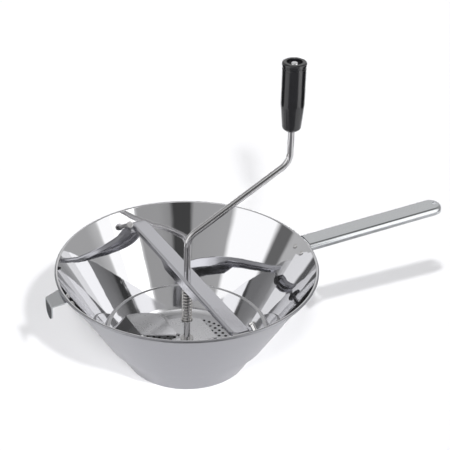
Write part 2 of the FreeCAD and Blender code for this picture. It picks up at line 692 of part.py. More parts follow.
def handle_tray(inset):
    """Solid outline of the handle, drawn in by inset on its sides, tip and top."""
    half = HANDLE_WIDTH / 2 - inset
    tip = RIM_RADIUS + HANDLE_LENGTH - inset
    bottom = HANDLE_TOP - HANDLE_DEPTH
    rounding = half * TIP_ROUNDNESS
    outline = rounded_face(plan([
        (FOOT_RADIUS, half), (FOOT_RADIUS, -half), (tip, -half, rounding), (tip, half, rounding),
    ], bottom))
    tray = outline.extrude(FreeCAD.Vector(0, 0, HANDLE_DEPTH - inset))
    shoulder = [edge for edge in tray.Edges
                if edge.BoundBox.ZMin > HANDLE_TOP - inset - 1e-3
                and edge.BoundBox.XMax > FOOT_RADIUS + HANDLE_SHEET]
    return tray.makeFillet(HANDLE_SHOULDER - inset, shoulder)


def make_handle():
    """Inverted channel with a round tip and a hanging hole, on a plate riveted to the wall."""
    channel = handle_tray(0).cut(handle_tray(HANDLE_SHEET))
    hole = FreeCAD.Vector(RIM_RADIUS + HANDLE_LENGTH - HANG_HOLE_INSET, 0, HANDLE_TOP - HANDLE_DEPTH)
    channel = channel.cut(Part.makeCylinder(HANG_HOLE_RADIUS, 2 * HANDLE_DEPTH, hole, UP))
    channel.rotate(FreeCAD.Vector(RIM_RADIUS, 0, HANDLE_TOP), FreeCAD.Vector(0, 1, 0), -HANDLE_TILT)
    channel = channel.cut(within_wall(SEAT_HEIGHT, HANDLE_TOP + HANDLE_SHEET))
    plate = wall_plate(HANDLE_PLATE_WIDTH, HANDLE_PLATE_LENGTH, handle_plate_top(), HANDLE_SHEET, 1)
    handle = channel.fuse(plate).removeSplitter()
    return handle.cut(rivet_holes(handle_plate_top(), HANDLE_SHEET, 1))


def make_rest_hook():
    """Tapered strip that slopes out from the wall and turns down to a round end, on a plate on the wall."""
    half = HOOK_WIDTH / 2
    root_half = HOOK_ROOT_WIDTH / 2
    root = RIM_RADIUS - HOOK_ROOT_WIDTH
    slope = math.tan(math.radians(HOOK_SLOPE))
    root_top = HOOK_TOP + (HOOK_REACH - root) * slope
    thickness = HOOK_SHEET / math.cos(math.radians(HOOK_SLOPE))
    inside = HOOK_REACH - HOOK_SHEET
    under = HOOK_TOP + HOOK_SHEET * slope - thickness
    low = HOOK_TOP - HOOK_TAB
    strip = rounded_face(section([
        (-root, root_top), (-HOOK_REACH, HOOK_TOP, HOOK_BEND), (-HOOK_REACH, low),
        (-inside, low), (-inside, under, HOOK_BEND - HOOK_SHEET), (-root, root_top - thickness),
    ])).extrude(FreeCAD.Vector(0, HOOK_ROOT_WIDTH, 0))
    strip.translate(FreeCAD.Vector(0, -root_half, 0))
    knee = HOOK_TOP - HOOK_BEND
    tip = half * TIP_ROUNDNESS
    end_view = rounded_face([(FreeCAD.Vector(-HOOK_REACH, y, z), radius) for y, z, radius in (
        (root_half, root_top, 0), (-root_half, root_top, 0), (-root_half, knee, 0), (-half, knee, 0),
        (-half, low, tip), (half, low, tip), (half, knee, 0), (root_half, knee, 0),
    )])
    strip = strip.common(end_view.extrude(FreeCAD.Vector(HOOK_REACH, 0, 0)))
    straight = HOOK_REACH - HOOK_BEND
    top_view = rounded_face(plan([
        (-root, root_half), (-RIM_RADIUS, root_half), (-straight, half), (-HOOK_REACH, half),
        (-HOOK_REACH, -half), (-straight, -half), (-RIM_RADIUS, -root_half), (-root, -root_half),
    ], low))
    strip = strip.common(top_view.extrude(FreeCAD.Vector(0, 0, BOWL_HEIGHT)))
    strip = strip.cut(within_wall(SEAT_HEIGHT, root_top))
    plate = wall_plate(HOOK_ROOT_WIDTH, HOOK_PLATE_LENGTH, hook_plate_top(), HOOK_SHEET, -1)
    hook = strip.fuse(plate).removeSplitter()
    return hook.cut(rivet_holes(hook_plate_top(), HOOK_SHEET, -1))


def build():
    """Every node of the mill by name."""
    catch = make_catch()
    return {
        "bowl": make_bowl(),
        "sieve_disc": make_sieve_disc(),
        "handle": make_handle(),
        "handle_rivets": rivets(handle_plate_top(), HANDLE_SHEET, 1),
        "rest_hook": make_rest_hook(),
        "hook_rivets": rivets(hook_plate_top(), HOOK_SHEET, -1),
        "back_catch": catch,
        "front_catch": half_turn(catch),
        "crossbar": make_crossbar(),
        "upper_washer": make_washer(SPRING_TOP),
        "spring": make_spring(),
        "lower_washer": make_washer(SPRING_BOTTOM - WASHER_SHEET),
        "crank_rod": make_crank_rod(),
        "spring_pin": cross_pin(SPRING_PIN_RADIUS, SPRING_PIN_LENGTH, SPRING_PIN_Z),
        "agitator_blade": make_agitator_blade(),
        "agitator_hub": make_agitator_hub(),
        "hub_pin": cross_pin(HUB_PIN_RADIUS, 2 * HUB_RADIUS, HUB_PIN_Z),
        "grip": make_grip(),
        "grip_stop_ring": make_grip_stop_ring(),
        "grip_cap": make_grip_cap(),
    }


os.makedirs("parts", exist_ok=True)
for name, shape in build().items():
    shape.exportStep("parts/" + name + ".step")
    print("%-16s solids %d valid %s volume %.1f" % (name, len(shape.Solids), shape.isValid(), shape.Volume))
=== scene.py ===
"""Looks of a hand-cranked food mill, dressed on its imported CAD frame.

All lengths are in metres unless a name ends in _mm, in the frame of the CAD part: the origin is the centre of
the bowl's foot, +X runs out along the handle, the bar lies near Y and +Z is up along the shaft.
"""

import logging
import math
from dataclasses import dataclass, field
from enum import Enum
from typing import Any

import bpy
from mathutils import Matrix, Vector


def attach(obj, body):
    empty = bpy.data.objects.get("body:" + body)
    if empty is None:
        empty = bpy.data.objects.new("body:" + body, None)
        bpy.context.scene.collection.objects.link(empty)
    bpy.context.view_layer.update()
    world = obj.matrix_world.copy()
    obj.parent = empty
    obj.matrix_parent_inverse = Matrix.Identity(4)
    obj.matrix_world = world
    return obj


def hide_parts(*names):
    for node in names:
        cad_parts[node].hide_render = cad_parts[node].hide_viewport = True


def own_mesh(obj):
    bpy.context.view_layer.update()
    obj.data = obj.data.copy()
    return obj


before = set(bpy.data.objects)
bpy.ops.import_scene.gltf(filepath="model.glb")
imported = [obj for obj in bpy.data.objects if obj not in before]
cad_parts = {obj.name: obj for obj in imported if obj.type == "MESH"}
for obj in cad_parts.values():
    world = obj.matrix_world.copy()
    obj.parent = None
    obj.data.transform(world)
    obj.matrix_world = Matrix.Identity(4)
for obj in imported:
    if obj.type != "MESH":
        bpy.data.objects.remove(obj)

log = logging.getLogger("food_mill")

MM = 0.001
# degrees from +X to the way that the photograph's camera looks, seen from above
PICTURE_HEADING = 66.5
# where most values of a noise texture lie
NOISE_LOW = 0.25
NOISE_HIGH = 0.75


class Lay(Enum):
    """The way that the fine lines of a brushed surface run, as a stretch along X, Y and Z."""

    ALONG_HANDLE = (50.0, 1.0, 1.0)
    ALONG_BAR = (1.0, 50.0, 1.0)
    ALONG_SHAFT = (1.0, 1.0, 50.0)
    NONE = (1.0, 1.0, 1.0)


def linear(colour: str) -> tuple[float, float, float, float]:
    """Turn an sRGB hex colour into linear RGBA.

    Args:
        colour: Six hex digits after a hash.

    Returns:
        Linear red, green, blue and an alpha of 1.
    """
    parts = [int(colour[place:place + 2], 16) / 255 for place in (1, 3, 5)]
    red, green, blue = [part / 12.92 if part <= 0.04045 else ((part + 0.055) / 1.055) ** 2.4
                        for part in parts]
    return red, green, blue, 1.0


def add_node(tree: bpy.types.NodeTree, kind: str, inputs: dict[Any, Any] | None = None,
             **settings: Any) -> bpy.types.Node:
    """Add a node with its settings, values and links.

    Args:
        tree: The tree to add to.
        kind: The node's type.
        inputs: Values or output sockets by input name or place.
        settings: Properties of the node.

    Returns:
        The new node.
    """
    node = tree.nodes.new(kind)
    for name, value in settings.items():
        setattr(node, name, value)
    for key, value in (inputs or {}).items():
        if isinstance(value, bpy.types.NodeSocket):
            tree.links.new(value, node.inputs[key])
        else:
            node.inputs[key].default_value = value
    return node


def per_metre(spacing_mm: float) -> float:
    """Scale of a noise texture whose features lie about spacing_mm apart."""
    return 1.0 / (spacing_mm * MM)


@dataclass(frozen=True)
class Finish:
    """A surface that makes its own procedural material."""

    name: str
    colour: str
    roughness: float
    metallic: float = 1.0

    def start(self) -> tuple[bpy.types.Material, bpy.types.NodeTree, bpy.types.Node]:
        """Make a material with a shader of this finish's plain values.

        Returns:
            The material, its node tree and its shader.
        """
        material = bpy.data.materials.new(self.name)
        material.use_nodes = True
        tree = material.node_tree
        shader = tree.nodes["Principled BSDF"]
        shader.inputs["Base Color"].default_value = linear(self.colour)
        shader.inputs["Roughness"].default_value = self.roughness
        shader.inputs["Metallic"].default_value = self.metallic
        material.diffuse_color = linear(self.colour)
        return material, tree, shader

    def material(self) -> bpy.types.Material:
        """The finish's material."""
        return self.start()[0]


@dataclass(frozen=True)
class SpunBowlSteel(Finish):
    """Stainless sheet spun on a former: buffed to a mirror inside, left with a turned satin lay outside.

    Inside, the eye gets sharp images that sway with the sheet's slight waves. Outside, it gets a soft grey
    glow with faint lines round the bowl; its darker colour there is painted reflection, standing in for the
    dim floor that the outside mirrors. A metallic value just under 1 gives the haze of fine scratches.
    """

    # the least that the sheet faces away from the shaft where it counts as outside
    outside_from: float = 0.02
    outside_roughness: float = 0.36
    outside_spread: float = 0.15
    # painted reflection: the outside is given a darker colour than the mirror, for the dim floor that it
    # reflects
    outside_painted_reflection_colour: str = "#9B9B9F"
    # least and most of the mirror's roughness, as shares of it
    haze_least: float = 0.6
    haze_most: float = 1.5
    wave_mm: float = 45.0
    wave_depth_mm: float = 0.25
    ripple_mm: float = 8.0
    ripple_depth_mm: float = 0.012
    lay_mm: float = 0.9
    lay_depth_mm: float = 0.004

    def material(self) -> bpy.types.Material:
        """Mirror inside and turned satin outside with a darker colour of painted reflection, told apart by
        which way the sheet faces.

        Returns:
            The bowl's material.
        """
        material, tree, shader = self.start()
        place = add_node(tree, "ShaderNodeTexCoord")
        level = add_node(tree, "ShaderNodeVectorMath", {0: place.outputs["Object"], 1: (1, 1, 0)},
                         operation="MULTIPLY")
        facing = add_node(tree, "ShaderNodeVectorMath", {0: level.outputs[0], 1: place.outputs["Normal"]},
                          operation="DOT_PRODUCT")
        outside = add_node(tree, "ShaderNodeMath", {0: facing.outputs["Value"], 1: self.outside_from},
                           operation="GREATER_THAN")
        split = add_node(tree, "ShaderNodeSeparateXYZ", {0: place.outputs["Object"]})
        # the real lay is about 0.2 mm apart, too fine to show, so it is drawn at lay_mm
        lay = add_node(tree, "ShaderNodeTexNoise", {"W": split.outputs["Z"], "Scale": per_metre(self.lay_mm),
                                                    "Detail": 3.0}, noise_dimensions="1D")
        wave = add_node(tree, "ShaderNodeTexNoise", {"Vector": place.outputs["Object"],
                                                     "Scale": per_metre(self.wave_mm), "Detail": 1.0})
        haze = add_node(tree, "ShaderNodeMapRange", {"Value": wave.outputs[0],
                                                     3: self.roughness * self.haze_least,
                                                     4: self.roughness * self.haze_most})
        satin = add_node(tree, "ShaderNodeMapRange", {"Value": lay.outputs[0], 1: NOISE_LOW, 2: NOISE_HIGH,
                                                      3: self.outside_roughness * (1 - self.outside_spread),
                                                      4: self.outside_roughness * (1 + self.outside_spread)})
        rough = add_node(tree, "ShaderNodeMix",
                         {0: outside.outputs[0], 2: haze.outputs[0], 3: satin.outputs[0]})
        tree.links.new(rough.outputs[0], shader.inputs["Roughness"])
        # the outside takes its darker colour, a painted reflection of the dim floor below it
        tone = add_node(tree, "ShaderNodeMix", {0: outside.outputs[0], 6: linear(self.colour),
                                                7: linear(self.outside_painted_reflection_colour)}, data_type="RGBA")
        tree.links.new(tone.outputs[2], shader.inputs["Base Color"])
        ripple = add_node(tree, "ShaderNodeTexNoise", {"Vector": place.outputs["Object"],
                                                       "Scale": per_metre(self.ripple_mm), "Detail": 1.0})
        waved = add_node(tree, "ShaderNodeBump", {"Height": wave.outputs[0], "Strength": 1.0,
                                                  "Distance": self.wave_depth_mm * MM})
        rippled = add_node(tree, "ShaderNodeBump", {"Height": ripple.outputs[0], "Strength": 1.0,
                                                    "Distance": self.ripple_depth_mm * MM,
                                                    "Normal": waved.outputs[0]})
        turned = add_node(tree, "ShaderNodeBump",
                          {"Height": lay.outputs[0], "Distance": self.lay_depth_mm * MM,
                           "Strength": outside.outputs[0], "Normal": rippled.outputs[0]})
        tree.links.new(turned.outputs[0], shader.inputs["Normal"])
        return material


@dataclass(frozen=True)
class PressedSieveSteel(Finish):
    """Perforated stainless sheet pressed to a dish: a bright drawn side and a floor dulled by the punching.

    On the side, the eye gets images of the bowl. On the floor, it gets a plain grey sheen with slight clouds.
    """

    # how far the sheet faces up or down where it stops being side and where it is all floor
    side_until: float = 0.5
    floor_from: float = 0.85
    floor_roughness: float = 0.34
    cloud_mm: float = 9.0
    cloud_depth_mm: float = 0.01
    spread: float = 0.2

    def material(self) -> bpy.types.Material:
        """Bright where the sheet stands and dull where it lies flat.

        Returns:
            The sieve's material.
        """
        material, tree, shader = self.start()
        place = add_node(tree, "ShaderNodeTexCoord")
        facing = add_node(tree, "ShaderNodeSeparateXYZ", {0: place.outputs["Normal"]})
        upward = add_node(tree, "ShaderNodeMath", {0: facing.outputs["Z"]}, operation="ABSOLUTE")
        cloud = add_node(tree, "ShaderNodeTexNoise", {"Vector": place.outputs["Object"],
                                                      "Scale": per_metre(self.cloud_mm), "Detail": 2.0})
        share = add_node(tree, "ShaderNodeMapRange", {"Value": cloud.outputs[0], 3: 1 - self.spread,
                                                      4: 1 + self.spread})
        bright_to_dull = add_node(tree, "ShaderNodeMapRange",
                                  {"Value": upward.outputs[0], 1: self.side_until, 2: self.floor_from,
                                   3: self.roughness, 4: self.floor_roughness})
        rough = add_node(tree, "ShaderNodeMath", {0: bright_to_dull.outputs[0], 1: share.outputs[0]},
                         operation="MULTIPLY")
        tree.links.new(rough.outputs[0], shader.inputs["Roughness"])
        relief = add_node(tree, "ShaderNodeBump", {"Height": cloud.outputs[0], "Strength": 1.0,
                                                   "Distance": self.cloud_depth_mm * MM})
        tree.links.new(relief.outputs[0], shader.inputs["Normal"])
        return material


@dataclass(frozen=True)
class BrushedSteel(Finish):
    """Stainless strip or rod with fine lines along it, from rolling, drawing or a belt.

    The eye gets a soft streaked sheen along the lines and a faint cloudiness across them.
    """

    lay: Lay = Lay.NONE
    lay_turn: float = 0.0
    line_mm: float = 0.6
    line_depth_mm: float = 0.004
    cloud_mm: float = 18.0
    cloud_share: float = 0.4
    spread: float = 0.25

    def material(self) -> bpy.types.Material:
        """Lines along the lay, with roughness and relief from one stretched noise.

        Returns:
            The strip's material.
        """
        material, tree, shader = self.start()
        place = add_node(tree, "ShaderNodeTexCoord")
        stretch = add_node(tree, "ShaderNodeMapping",
                           {"Vector": place.outputs["Object"], "Scale": self.lay.value,
                            "Rotation": (0, 0, math.radians(self.lay_turn))}, vector_type="TEXTURE")
        # the real lines are about 0.1 mm apart, too fine to show, so they are drawn at line_mm
        lines = add_node(tree, "ShaderNodeTexNoise", {"Vector": stretch.outputs[0],
                                                      "Scale": per_metre(self.line_mm), "Detail": 2.0})
        cloud = add_node(tree, "ShaderNodeTexNoise", {"Vector": place.outputs["Object"],
                                                      "Scale": per_metre(self.cloud_mm), "Detail": 2.0})
        both = add_node(tree, "ShaderNodeMix",
                        {0: self.cloud_share, 2: lines.outputs[0], 3: cloud.outputs[0]})
        rough = add_node(tree, "ShaderNodeMapRange", {"Value": both.outputs[0], 1: NOISE_LOW, 2: NOISE_HIGH,
                                                      3: self.roughness * (1 - self.spread),
                                                      4: self.roughness * (1 + self.spread)})
        tree.links.new(rough.outputs[0], shader.inputs["Roughness"])
        relief = add_node(tree, "ShaderNodeBump", {"Height": lines.outputs[0], "Strength": 1.0,
                                                   "Distance": self.line_depth_mm * MM})
        tree.links.new(relief.outputs[0], shader.inputs["Normal"])
        return material


@dataclass(frozen=True)
class MouldedPlastic(Finish):
    """Black phenolic, moulded in a steel tool.

    The eye gets a dark semi-gloss skin with a very fine grain and a faint flow in its tone.
    """

    ior: float = 1.58
    grain_mm: float = 0.7
    grain_depth_mm: float = 0.006
    flow_mm: float = 14.0
    spread: float = 0.2
    pale: str = "#18181B"
    gloss: float = 0.6

    def material(self) -> bpy.types.Material:
        """Grain in the relief, flow in the colour and the gloss.

        Returns:
            The grip's material.
        """
        material, tree, shader = self.start()
        shader.inputs["IOR"].default_value = self.ior
        shader.inputs["Specular IOR Level"].default_value = self.gloss
        place = add_node(tree, "ShaderNodeTexCoord")
        grain = add_node(tree, "ShaderNodeTexNoise", {"Vector": place.outputs["Object"],
                                                      "Scale": per_metre(self.grain_mm), "Detail": 2.0})
        flow = add_node(tree, "ShaderNodeTexNoise", {"Vector": place.outputs["Object"],
                                                     "Scale": per_metre(self.flow_mm), "Detail": 3.0})
        tone = add_node(tree, "ShaderNodeMix", {0: flow.outputs[0], 6: linear(self.colour),
                                                7: linear(self.pale)}, data_type="RGBA")
        tree.links.new(tone.outputs[2], shader.inputs["Base Color"])
        rough = add_node(tree, "ShaderNodeMapRange", {"Value": flow.outputs[0],
                                                      3: self.roughness * (1 - self.spread),
                                                      4: self.roughness * (1 + self.spread)})
        tree.links.new(rough.outputs[0], shader.inputs["Roughness"])
        relief = add_node(tree, "ShaderNodeBump", {"Height": grain.outputs[0], "Strength": 1.0,
                                                   "Distance": self.grain_depth_mm * MM})
        tree.links.new(relief.outputs[0], shader.inputs["Normal"])
        return material


def dress(node: str, material: bpy.types.Material) -> None:
    """Give a CAD node a material.

    Args:
        node: The node's name.
        material: Its material.
    """
    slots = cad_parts[node].data.materials
    slots.clear()
    slots.append(material)
    log.info("%s: %s", node, material.name)


def only(piece: bpy.types.Object) -> None:
    """Select one object alone and make it active."""
    bpy.ops.object.select_all(action="DESELECT")
    piece.select_set(True)
    bpy.context.view_layer.objects.active = piece


@dataclass
class BowlUnit:
    """Bowl with its sieve, handle, hook, catches and rivets."""

    wall: Finish = SpunBowlSteel("spun_bowl_steel", "#D7D7D9", 0.03, metallic=0.985)
    sieve: Finish = PressedSieveSteel("pressed_sieve_steel", "#D6D6D8", 0.05, metallic=0.96)
    strip: Finish = BrushedSteel("brushed_handle_steel", "#C6C8CA", 0.17, lay=Lay.ALONG_HANDLE)
    fitting: Finish = BrushedSteel("buffed_fitting_steel", "#D4D3D3", 0.1, line_mm=0.9)

    def build(self) -> None:
        """Dress the CAD nodes of the bowl."""
        dress("bowl", self.wall.material())
        dress("sieve_disc", self.sieve.material())
        strip = self.strip.material()
        for node in ("handle", "rest_hook"):
            dress(node, strip)
        fitting = self.fitting.material()
        for node in ("handle_rivets", "hook_rivets", "back_catch", "front_catch"):
            dress(node, fitting)


@dataclass
class CoilSpring:
    """Compression spring between the bar and the washer on the shaft, of round wire with closed ends."""

    body: str = "bar_body"
    top: float = 87.5 * MM
    bottom: float = 38.5 * MM
    wire_radius: float = 0.6 * MM
    mean_radius: float = 4.45 * MM
    turns: int = 14
    end_pitch: float = 1.3 * MM
    steps: int = 28
    sides: int = 12
    lift: float = 4.0 * MM
    weld: float = 0.01 * MM
    smooth_up_to: float = 50.0
    finish: Finish = BrushedSteel("spring_wire", "#DCDAD8", 0.14, line_mm=0.8)

    def coil(self, bottom: float, pitch: float, turns: int) -> bpy.types.Object:
        """Wind some turns of wire from a circle.

        Args:
            bottom: Height of the wire's centre at the start.
            pitch: Rise in each turn.
            turns: How many turns.

        Returns:
            An open tube.
        """
        bpy.ops.object.select_all(action="DESELECT")
        bpy.ops.mesh.primitive_circle_add(vertices=self.sides, radius=self.wire_radius,
                                          location=(self.mean_radius, 0, bottom),
                                          rotation=(math.pi / 2, 0, 0))
        wire = bpy.context.object
        bpy.ops.object.transform_apply(location=True, rotation=True, scale=True)
        wind = wire.modifiers.new("wind", "SCREW")
        wind.angle = 2 * math.pi
        wind.screw_offset = pitch
        wind.iterations = turns
        wind.steps = self.steps
        wind.render_steps = self.steps
        bpy.ops.object.modifier_apply(modifier=wind.name)
        return wire

    def build(self) -> bpy.types.Object:
        """Wind the spring, close its ends and set it on the bar in place of the CAD spring.

        Returns:
            The spring.
        """
        low = self.bottom + self.wire_radius
        high = self.top - self.wire_radius
        pitch = (high - low - 2 * self.end_pitch) / self.turns
        spring = self.coil(low + self.end_pitch, pitch, self.turns)
        ends = [self.coil(low, self.end_pitch, 1), self.coil(high - self.end_pitch, self.end_pitch, 1)]
        only(spring)
        for end in ends:
            end.select_set(True)
        bpy.ops.object.join()
        spring.name = "wound_spring"
        spring.data.name = "wound_spring"
        bpy.ops.object.mode_set(mode="EDIT")
        bpy.ops.mesh.select_all(action="SELECT")
        bpy.ops.mesh.remove_doubles(threshold=self.weld)
        bpy.ops.mesh.select_all(action="SELECT")
        bpy.ops.mesh.fill_holes(sides=0)
        bpy.ops.mesh.select_all(action="SELECT")
        bpy.ops.mesh.normals_make_consistent(inside=False)
        bpy.ops.object.mode_set(mode="OBJECT")
        bpy.ops.object.shade_smooth_by_angle(angle=math.radians(self.smooth_up_to))
        spring.data.materials.append(self.finish.material())
        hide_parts("spring")
        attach(spring, self.body)
        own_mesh(spring)
        log.info("wound_spring: %d faces", len(spring.data.polygons))
        return spring


@dataclass
class BarUnit:
    """Crossbar with the spring that hangs on it."""

    bar: Finish = BrushedSteel("brushed_bar_steel", "#C4C4C9", 0.17, lay=Lay.ALONG_BAR, lay_turn=5.0)
    washer: Finish = BrushedSteel("stamped_washer_steel", "#BDBCBB", 0.22)
    spring: CoilSpring = field(default_factory=CoilSpring)

    def build(self) -> None:
        """Dress the bar and its washers, and wind the spring."""
        dress("crossbar", self.bar.material())
        washer = self.washer.material()
        for node in ("upper_washer", "lower_washer"):
            dress(node, washer)
        self.spring.build()


@dataclass
class CrankUnit:
    """Bent rod with the blade, its hub and pins, and the black grip."""

    rod: Finish = BrushedSteel("drawn_rod_steel", "#C8C7C8", 0.1, lay=Lay.ALONG_SHAFT)
    blade: Finish = BrushedSteel("pressed_blade_steel", "#E2E2E4", 0.3, metallic=0.9, line_mm=1.4,
                                line_depth_mm=0.002)
    hub: Finish = BrushedSteel("turned_hub_steel", "#BFBEBE", 0.24)
    cap: Finish = BrushedSteel("bright_cap_steel", "#D8D8DA", 0.12)
    grip: Finish = MouldedPlastic("moulded_black_phenolic", "#0B0B0D", 0.16, metallic=0.0)

    def build(self) -> None:
        """Dress the CAD nodes of the crank and the grip."""
        dress("crank_rod", self.rod.material())
        dress("agitator_blade", self.blade.material())
        hub = self.hub.material()
        for node in ("agitator_hub", "hub_pin", "spring_pin", "grip_stop_ring"):
            dress(node, hub)
        dress("grip_cap", self.cap.material())
        dress("grip", self.grip.material())


@dataclass
class PhotoCamera:
    """Camera at the photograph's place, found from the ellipse of the rim."""

    picture: float = 450.0
    focal: float = 1300.0
    distance: float = 1182.1 * MM
    elevation: float = 30.29
    heading: float = PICTURE_HEADING
    roll: float = 1.2
    rim_pixel: tuple[float, float] = (187.24, 264.86)
    rim_height: float = 98.0 * MM
    sensor_mm: float = 36.0
    sees_until: float = 50.0

    def axes(self) -> tuple[Vector, Vector, Vector]:
        """Directions to the right, up and forward in the picture.

        Returns:
            Three unit vectors.
        """
        tilt, turn, roll = (math.radians(angle) for angle in (self.elevation, self.heading, self.roll))
        forward = Vector((math.cos(tilt) * math.cos(turn), math.cos(tilt) * math.sin(turn), -math.sin(tilt)))
        level = Vector((math.sin(turn), -math.cos(turn), 0))
        upward = level.cross(forward)
        right = math.cos(roll) * level + math.sin(roll) * upward
        return right, math.cos(roll) * upward - math.sin(roll) * level, forward

    def build(self) -> None:
        """Make the camera and use it for the picture."""
        right, up, forward = self.axes()
        middle = self.picture / 2
        across = (self.rim_pixel[0] - middle) / self.focal * self.distance
        down = (self.rim_pixel[1] - middle) / self.focal * self.distance
        rim = Vector((0, 0, self.rim_height))
        place = rim - self.distance * forward - across * right + down * up
        lens = bpy.data.cameras.new("photo_camera")
        lens.sensor_width = self.sensor_mm
        lens.lens = self.focal * self.sensor_mm / self.picture
        lens.clip_end = self.sees_until
        camera = bpy.data.objects.new("photo_camera", lens)
        turn = Matrix((right, up, -forward)).transposed().to_4x4()
        camera.matrix_world = Matrix.Translation(place) @ turn
        bpy.context.scene.collection.objects.link(camera)
        bpy.context.scene.camera = camera


@dataclass(frozen=True)
class Lamp:
    """One soft distant lamp, with the way to it as parts to the picture's right, away from the camera and up.

    The lamp is screened so that only some nodes cast its shadow, which keeps the floor free of doubled
    shadows. Its strength is in watts per square metre and its spread in degrees.
    """

    name: str
    right: float
    behind: float
    up: float
    strength: float
    shades: tuple[str, ...]
    spread: float = 3.5


@dataclass(frozen=True)
class Card:
    """One dark card on the floor, with its place to the picture's right and away from the camera.

    It is a disc, stretched along the handle by its length.
    """

    name: str
    right: float
    behind: float
    radius: float
    colour: str = "#161617"
    length: float = 1.0


@dataclass
class Studio:
    """White floor, soft lamps and the studio's walls, which only the metal sees."""

    heading: float = PICTURE_HEADING
    floor_size: float = 9.0
    floor_colour: str = "#E6E6E8"
    # the floor and the cards lie just under the mill, with the cards over the floor
    floor_drop: float = 0.3 * MM
    card_drop: float = 0.1 * MM
    ambient: float = 0.03
    wall_radius: float = 3.0
    wall_height: float = 6.0
    wall_sides: int = 96
    card_sides: int = 48
    # painted shade: a near-black card under the open foot stands in for the shade there, which the screened
    # lamps don't fully cast
    shade: Card = Card("painted_shade_card", 0.0, 0.0, 0.05)
    # dark parts of the studio's floor: beside the hook, before the camera and at the back, and a strip of
    # painted shade along the handle, which stands in for the floor's shade beside it in the handle's
    # reflection
    cards: tuple[Card, ...] = (
        Card("hook_card", -0.215, 0.045, 0.055, "#4C4C4E"),
        # painted shade: a dark strip along the handle, seen only in the handle's flange
        Card("handle_painted_shade_strip", 0.3075, -0.03, 0.012, length=12.0),
        Card("front_card", 0.06, -0.68, 0.5, "#747476"),
        Card("back_left_card", -0.55, 0.35, 0.3),
        Card("back_right_card", 0.75, 0.25, 0.3),
    )
    lamps: tuple[Lamp, ...] = (
        Lamp("handle_side_lamp", -0.16, -0.51, 0.84, 1.66, ("handle",)),
        Lamp("front_lamp", 0.07, -0.80, 0.59, 1.17, ("bowl", "sieve_disc", "crossbar", "crank_rod", "grip")),
        Lamp("hook_side_lamp", 0.33, -0.63, 0.70, 1.62, ("bowl", "sieve_disc", "rest_hook")),
        Lamp("broad_lamp", -0.05, -0.66, 0.75, 0.92, ("bowl", "sieve_disc"), spread=10.0),
    )
    # brightness of the studio round the mill, by degrees anticlockwise from the picture's right
    walls: tuple[tuple[float, float], ...] = (
        (0, 1.42), (2, 0.68), (6, 0.6), (14, 0.48), (44, 0.48), (70, 0.8), (100, 0.8), (122, 0.53),
        (156, 0.6), (164, 0.6), (167, 0.16), (179, 0.16), (184, 1.42), (224, 1.42), (229, 0.48), (266, 0.44),
        (270, 0.05), (286, 0.05), (290, 0.34), (300, 0.42), (321, 0.42), (327, 1.42), (360, 1.42),
    )
    # share of that brightness by height
    heights: tuple[tuple[float, float], ...] = ((0, 1.0), (2.4, 1.0), (4.4, 0.6), (6.0, 0.6))
    # brightness of the ceiling by distance to the back, and the share of it left towards its back right
    ceiling: tuple[tuple[float, float], ...] = (
        (-3.0, 0.1), (-2.85, 0.1), (-2.75, 1.8), (-1.35, 1.8), (-1.1, 0.62), (3.0, 0.62),
    )
    ceiling_corner: tuple[tuple[float, float], ...] = ((-3.0, 1.0), (1.4, 1.0), (1.7, 0.1), (3.0, 0.1))
    # softbox that stands near the handle, by degrees as on the walls
    softbox_from: float = 327.0
    softbox_to: float = 352.0
    softbox_distance: float = 0.6
    softbox_height: float = 0.75
    softbox_level: float = 1.9

    def to_frame(self, right: float, behind: float, height: float) -> Vector:
        """Turn a place in the picture's directions into the part's frame.

        Args:
            right: Distance to the picture's right.
            behind: Distance away from the camera.
            height: Height above the floor.

        Returns:
            The place in the part's frame.
        """
        turn = math.radians(self.heading)
        across = Vector((math.sin(turn), -math.cos(turn), 0))
        away = Vector((math.cos(turn), math.sin(turn), 0))
        return right * across + behind * away + Vector((0, 0, height))

    def add_floor(self) -> None:
        """Lay the floor: white where the lamps reach it, with the mill's soft shadows."""
        bpy.ops.object.select_all(action="DESELECT")
        bpy.ops.mesh.primitive_plane_add(size=self.floor_size, location=(0, 0, -self.floor_drop))
        floor = bpy.context.object
        floor.name = "studio_floor"
        floor.data.materials.append(Finish("white_paper", self.floor_colour, 1.0, metallic=0.0).material())

    @staticmethod
    def seen_directly(tree: bpy.types.NodeTree) -> bpy.types.NodeSocket:
        """A socket that is 1 for rays from the camera and for those in metal or glass.

        Args:
            tree: The tree to add the nodes to.

        Returns:
            The socket.
        """
        path = add_node(tree, "ShaderNodeLightPath")
        mirror = add_node(tree, "ShaderNodeMath", {0: path.outputs["Is Camera Ray"],
                                                   1: path.outputs["Is Glossy Ray"]}, operation="MAXIMUM")
        seen = add_node(tree, "ShaderNodeMath", {0: mirror.outputs[0],
                                                 1: path.outputs["Is Transmission Ray"]}, operation="MAXIMUM")
        return seen.outputs[0]

    def add_world(self) -> None:
        """White all round for the camera and the metal, and a soft level of light for the rest."""
        world = bpy.data.worlds.new("white_studio")
        world.use_nodes = True
        tree = world.node_tree
        tree.nodes.clear()
        seen = self.seen_directly(tree)
        level = add_node(tree, "ShaderNodeMapRange", {"Value": seen, 3: self.ambient, 4: 1.0})
        sky = add_node(tree, "ShaderNodeBackground", {"Color": (1, 1, 1, 1), "Strength": level.outputs[0]})
        add_node(tree, "ShaderNodeOutputWorld", {"Surface": sky.outputs[0]})
        bpy.context.scene.world = world

